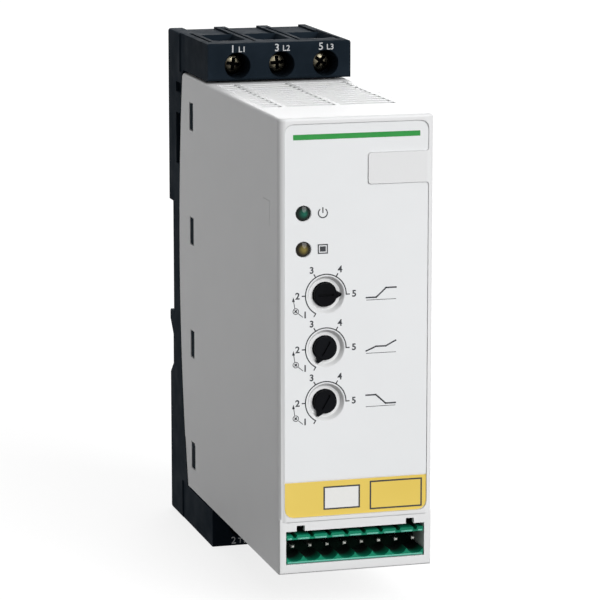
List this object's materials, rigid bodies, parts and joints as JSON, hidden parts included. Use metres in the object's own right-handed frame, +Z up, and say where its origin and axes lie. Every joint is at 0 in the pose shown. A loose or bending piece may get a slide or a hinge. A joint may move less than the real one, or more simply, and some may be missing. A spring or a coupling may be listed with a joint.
{
  "type": "soft starter",
  "caption": "Narrow rail-mounted motor soft starter: black base with screw terminals and a rail latch, deep light cover with vents, indicator lamps, setting dials and a plug header.",
  "frame": {"origin": "middle of the rail seat, on the floor of the rail groove in the rear face, on the rail's centre line", "axes": "+Z up along the housing, +Y out of the rear towards the rail, +X to the right as seen from the front"},
  "size_m": [0.045, 0.131, 0.154],
  "materials": {
    "black_plastic": "fine matt moulding",
    "cover_plastic": "satin moulding",
    "label_film": "satin printed film",
    "yellow_film": "satin printed film",
    "knob_plastic": "satin",
    "header_plastic": "satin",
    "green_lens": "gloss",
    "amber_lens": "gloss",
    "plated_steel": "yellow-passivated zinc plate",
    "cage_steel": "zinc plate",
    "copper_strip": "tinned copper",
    "tinned_pin": "tin plate",
    "spring_steel": "drawn wire",
    "board_laminate": "solder resist",
    "extrusion": "as extruded",
    "moulded_epoxy": "matt",
    "relay_case": "satin",
    "lamination": "varnished",
    "coil_tape": "tape",
    "capacitor_sleeve": "shrink sleeve",
    "socket_plastic": "matt",
    "ribbon_plastic": "matt"
  },
  "bodies": {
    "housing": {"base_housing": "black_plastic", "busbar_l1": "copper_strip", "busbar_l2": "copper_strip", "busbar_l3": "copper_strip", "busbar_u1": "copper_strip", "busbar_u2": "copper_strip", "busbar_u3": "copper_strip", "bypass_relay_left": "relay_case", "bypass_relay_right": "relay_case", "capacitor_left": "capacitor_sleeve", "capacitor_right": "capacitor_sleeve", "control_board": "board_laminate", "dial_pot_1": "relay_case", "dial_pot_2": "relay_case", "dial_pot_3": "relay_case", "front_cover": "cover_plastic", "front_label": "label_film", "heatsink": "extrusion", "lamp_chip_lower": "socket_plastic", "lamp_chip_upper": "socket_plastic", "light_pipe_lower": "amber_lens", "light_pipe_upper": "green_lens", "link_ribbon": "ribbon_plastic", "link_socket_front": "socket_plastic", "link_socket_rear": "socket_plastic", "plug_header": "header_plastic", "plug_pin_1": "tinned_pin", "plug_pin_2": "tinned_pin", "plug_pin_3": "tinned_pin", "plug_pin_4": "tinned_pin", "plug_pin_5": "tinned_pin", "plug_pin_6": "tinned_pin", "plug_pin_7": "tinned_pin", "plug_pin_8": "tinned_pin", "power_board": "board_laminate", "thyristor_left": "moulded_epoxy", "thyristor_right": "moulded_epoxy", "transformer_coil": "coil_tape", "transformer_core": "lamination", "yellow_strip": "yellow_film"},
    "latch": {"din_latch": "black_plastic", "latch_spring": "spring_steel"},
    "dial_1": {"dial_knob_1": "knob_plastic"},
    "dial_2": {"dial_knob_2": "knob_plastic"},
    "dial_3": {"dial_knob_3": "knob_plastic"},
    "screw_u1": {"terminal_screw_u1": "plated_steel"},
    "clamp_u1": {"clamp_cage_u1": "cage_steel"},
    "screw_u2": {"terminal_screw_u2": "plated_steel"},
    "clamp_u2": {"clamp_cage_u2": "cage_steel"},
    "screw_u3": {"terminal_screw_u3": "plated_steel"},
    "clamp_u3": {"clamp_cage_u3": "cage_steel"},
    "screw_l1": {"terminal_screw_l1": "plated_steel"},
    "clamp_l1": {"clamp_cage_l1": "cage_steel"},
    "screw_l2": {"terminal_screw_l2": "plated_steel"},
    "clamp_l2": {"clamp_cage_l2": "cage_steel"},
    "screw_l3": {"terminal_screw_l3": "plated_steel"},
    "clamp_l3": {"clamp_cage_l3": "cage_steel"}
  },
  "joints": [
    {"name": "latch_slide", "type": "slide", "parent": "housing", "child": "latch", "axis": [0, 0, -1], "range_m": [0, 0.004], "stiffness_N_per_m": 1200, "springref_m": -0.002, "deforming": ["latch_spring"]},
    {"name": "dial_1_turn", "type": "hinge", "parent": "housing", "child": "dial_1", "pos_m": [-0.0089, -0.1243, 0.0095], "axis": [0, 1, 0], "range_deg": [-240, 0]},
    {"name": "dial_2_turn", "type": "hinge", "parent": "housing", "child": "dial_2", "pos_m": [-0.0089, -0.1243, -0.0057], "axis": [0, 1, 0], "range_deg": [0, 240]},
    {"name": "dial_3_turn", "type": "hinge", "parent": "housing", "child": "dial_3", "pos_m": [-0.0089, -0.1243, -0.021], "axis": [0, 1, 0], "range_deg": [0, 240]},
    {"name": "screw_u1_turn", "type": "hinge", "parent": "housing", "child": "screw_u1", "pos_m": [-0.0129, -0.0386, 0.0647], "axis": [0, 1, 0], "range_deg": [0, 2700]},
    {"name": "clamp_u1_slide", "type": "slide", "parent": "housing", "child": "clamp_u1", "axis": [0, -1, 0], "range_m": [0, 0.0045]},
    {"name": "screw_u2_turn", "type": "hinge", "parent": "housing", "child": "screw_u2", "pos_m": [0.0008, -0.0386, 0.0647], "axis": [0, 1, 0], "range_deg": [0, 2700]},
    {"name": "clamp_u2_slide", "type": "slide", "parent": "housing", "child": "clamp_u2", "axis": [0, -1, 0], "range_m": [0, 0.0045]},
    {"name": "screw_u3_turn", "type": "hinge", "parent": "housing", "child": "screw_u3", "pos_m": [0.0145, -0.0386, 0.0647], "axis": [0, 1, 0], "range_deg": [0, 2700]},
    {"name": "clamp_u3_slide", "type": "slide", "parent": "housing", "child": "clamp_u3", "axis": [0, -1, 0], "range_m": [0, 0.0045]},
    {"name": "screw_l1_turn", "type": "hinge", "parent": "housing", "child": "screw_l1", "pos_m": [-0.0129, -0.0416, -0.0759], "axis": [0, 1, 0], "range_deg": [0, 2700]},
    {"name": "clamp_l1_slide", "type": "slide", "parent": "housing", "child": "clamp_l1", "axis": [0, -1, 0], "range_m": [0, 0.0045]},
    {"name": "screw_l2_turn", "type": "hinge", "parent": "housing", "child": "screw_l2", "pos_m": [0.0008, -0.0416, -0.0759], "axis": [0, 1, 0], "range_deg": [0, 2700]},
    {"name": "clamp_l2_slide", "type": "slide", "parent": "housing", "child": "clamp_l2", "axis": [0, -1, 0], "range_m": [0, 0.0045]},
    {"name": "screw_l3_turn", "type": "hinge", "parent": "housing", "child": "screw_l3", "pos_m": [0.0145, -0.0416, -0.0759], "axis": [0, 1, 0], "range_deg": [0, 2700]},
    {"name": "clamp_l3_slide", "type": "slide", "parent": "housing", "child": "clamp_l3", "axis": [0, -1, 0], "range_m": [0, 0.0045]}
  ],
  "couplings": [
    {"joint": "screw_u1_turn", "follows": "clamp_u1_slide", "rad_per_m": 10472},
    {"joint": "screw_u2_turn", "follows": "clamp_u2_slide", "rad_per_m": 10472},
    {"joint": "screw_u3_turn", "follows": "clamp_u3_slide", "rad_per_m": 10472},
    {"joint": "screw_l1_turn", "follows": "clamp_l1_slide", "rad_per_m": 10472},
    {"joint": "screw_l2_turn", "follows": "clamp_l2_slide", "rad_per_m": 10472},
    {"joint": "screw_l3_turn", "follows": "clamp_l3_slide", "rad_per_m": 10472}
  ]
}
